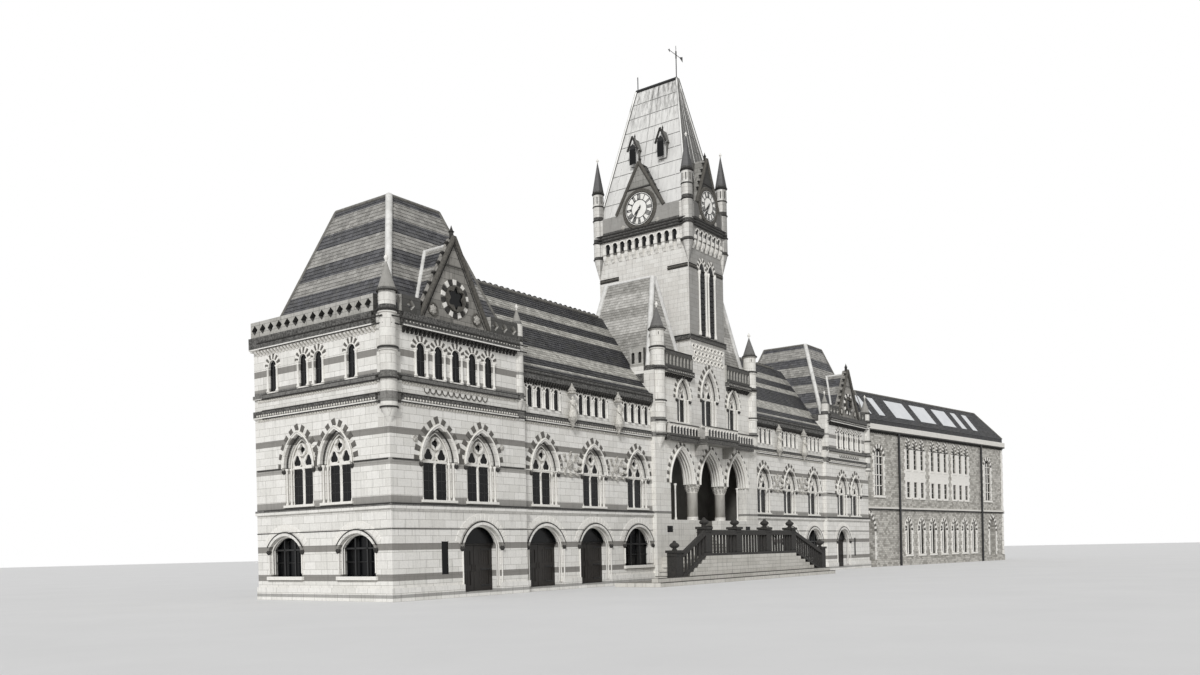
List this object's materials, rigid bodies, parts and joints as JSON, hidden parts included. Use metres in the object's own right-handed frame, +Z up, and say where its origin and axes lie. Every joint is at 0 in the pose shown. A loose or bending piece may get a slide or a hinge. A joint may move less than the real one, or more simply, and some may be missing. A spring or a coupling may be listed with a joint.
{
  "type": "gothic town hall, half-size model",
  "caption": "Long Gothic town hall with corner pavilions, an arched entrance porch, a clock tower and a plainer wing; doors, clock hands and vane turn. Half of real size.",
  "frame": {"origin": "centre of the main block in plan, on the ground", "axes": "+X along the front towards the wing, +Y from the front into the building, +Z up"},
  "size_m": [36.0927, 5.8515, 14.85],
  "materials": {
    "pale_stone": "matt coursed limestone with darker bands",
    "stair_stone": "matt worn sandstone",
    "plastered_masonry": "matt plaster",
    "roof_slate": "matt slate in striped courses",
    "roof_lead": "dull weathered sheet",
    "painted_iron": "dark paint",
    "dial_paint": "satin paint",
    "door_timber": "dark stained oak",
    "window_glass": "clear"
  },
  "bodies": {
    "building": {"balcony": "pale_stone", "centre_base_wall": "pale_stone", "centre_roofs": "roof_slate", "centre_turrets": "pale_stone", "centre_upper_wall": "pale_stone", "clock_dials": "dial_paint", "clock_gables": "pale_stone", "clock_stage": "pale_stone", "cross_walls": "plastered_masonry", "door_transoms": "door_timber", "downpipes": "painted_iron", "extension_back_wall": "pale_stone", "extension_end_wall": "pale_stone", "extension_floors": "plastered_masonry", "extension_front_wall": "pale_stone", "extension_glass": "window_glass", "extension_roof": "roof_slate", "far_pavilion_doors": "door_timber", "first_floor_glass": "window_glass", "ground_floor": "plastered_masonry", "ground_glass": "window_glass", "left_flight": "stair_stone", "link_ground_walls": "pale_stone", "link_roofs": "roof_slate", "link_upper_walls": "pale_stone", "pavilion_gables": "pale_stone", "pavilion_ground_walls": "pale_stone", "pavilion_roofs": "roof_slate", "pavilion_turrets": "pale_stone", "pavilion_upper_walls": "pale_stone", "pierced_parapets": "pale_stone", "porch_arcade": "pale_stone", "porch_flight": "stair_stone", "porch_inner_walls": "plastered_masonry", "rear_wall": "pale_stone", "right_flight": "stair_stone", "roof_finials": "painted_iron", "rooflights": "window_glass", "second_floor_glass": "window_glass", "side_walls": "pale_stone", "stair_balustrades": "stair_stone", "stair_landing": "stair_stone", "tower_roof": "roof_lead", "tower_shaft": "pale_stone", "tower_turrets": "pale_stone", "upper_floors": "plastered_masonry"},
    "pavilion_door_left": {"pavilion_door_left": "door_timber"},
    "pavilion_door_right": {"pavilion_door_right": "door_timber"},
    "link_door_a_left": {"link_door_a_left": "door_timber"},
    "link_door_a_right": {"link_door_a_right": "door_timber"},
    "link_door_b_left": {"link_door_b_left": "door_timber"},
    "link_door_b_right": {"link_door_b_right": "door_timber"},
    "hour_hand_front": {"hour_hand_front": "painted_iron"},
    "minute_hand_front": {"minute_hand_front": "painted_iron"},
    "hour_hand_side": {"hour_hand_side": "painted_iron"},
    "minute_hand_side": {"minute_hand_side": "painted_iron"},
    "weather_vane": {"weather_vane": "painted_iron"}
  },
  "joints": [
    {"name": "pavilion_door_left_hinge", "type": "hinge", "parent": "building", "child": "pavilion_door_left", "pos_m": [-9.703, -1.71, 0.55], "axis": [0, 0, 1], "range_deg": [0, 90]},
    {"name": "pavilion_door_right_hinge", "type": "hinge", "parent": "building", "child": "pavilion_door_right", "pos_m": [-8.637, -1.71, 0.55], "axis": [0, 0, -1], "range_deg": [0, 90]},
    {"name": "link_door_a_left_hinge", "type": "hinge", "parent": "building", "child": "link_door_a_left", "pos_m": [-7.583, -1.59, 0.55], "axis": [0, 0, 1], "range_deg": [0, 90]},
    {"name": "link_door_a_right_hinge", "type": "hinge", "parent": "building", "child": "link_door_a_right", "pos_m": [-6.437, -1.59, 0.55], "axis": [0, 0, -1], "range_deg": [0, 90]},
    {"name": "link_door_b_left_hinge", "type": "hinge", "parent": "building", "child": "link_door_b_left", "pos_m": [-5.783, -1.59, 0.55], "axis": [0, 0, 1], "range_deg": [0, 90]},
    {"name": "link_door_b_right_hinge", "type": "hinge", "parent": "building", "child": "link_door_b_right", "pos_m": [-4.637, -1.59, 0.55], "axis": [0, 0, -1], "range_deg": [0, 90]},
    {"name": "minute_hand_front_arbor", "type": "hinge", "parent": "building", "child": "minute_hand_front", "pos_m": [0, -2.13, 10.18], "axis": [0, 1, 0], "continuous": true},
    {"name": "hour_hand_front_arbor", "type": "hinge", "parent": "building", "child": "hour_hand_front", "pos_m": [0, -2.13, 10.18], "axis": [0, 1, 0], "continuous": true},
    {"name": "minute_hand_side_arbor", "type": "hinge", "parent": "building", "child": "minute_hand_side", "pos_m": [-1.06, -0.54, 10.18], "axis": [1, 0, 0], "continuous": true},
    {"name": "hour_hand_side_arbor", "type": "hinge", "parent": "building", "child": "hour_hand_side", "pos_m": [-1.06, -0.54, 10.18], "axis": [1, 0, 0], "continuous": true},
    {"name": "weather_vane_spindle", "type": "hinge", "parent": "building", "child": "weather_vane", "pos_m": [0, -1.185, 14.6], "axis": [0, 0, 1], "continuous": true}
  ],
  "couplings": [
    {"joint": "hour_hand_front_arbor", "follows": "minute_hand_front_arbor", "ratio": 0.083333},
    {"joint": "minute_hand_side_arbor", "follows": "minute_hand_front_arbor", "ratio": 1},
    {"joint": "hour_hand_side_arbor", "follows": "minute_hand_front_arbor", "ratio": 0.083333}
  ]
}
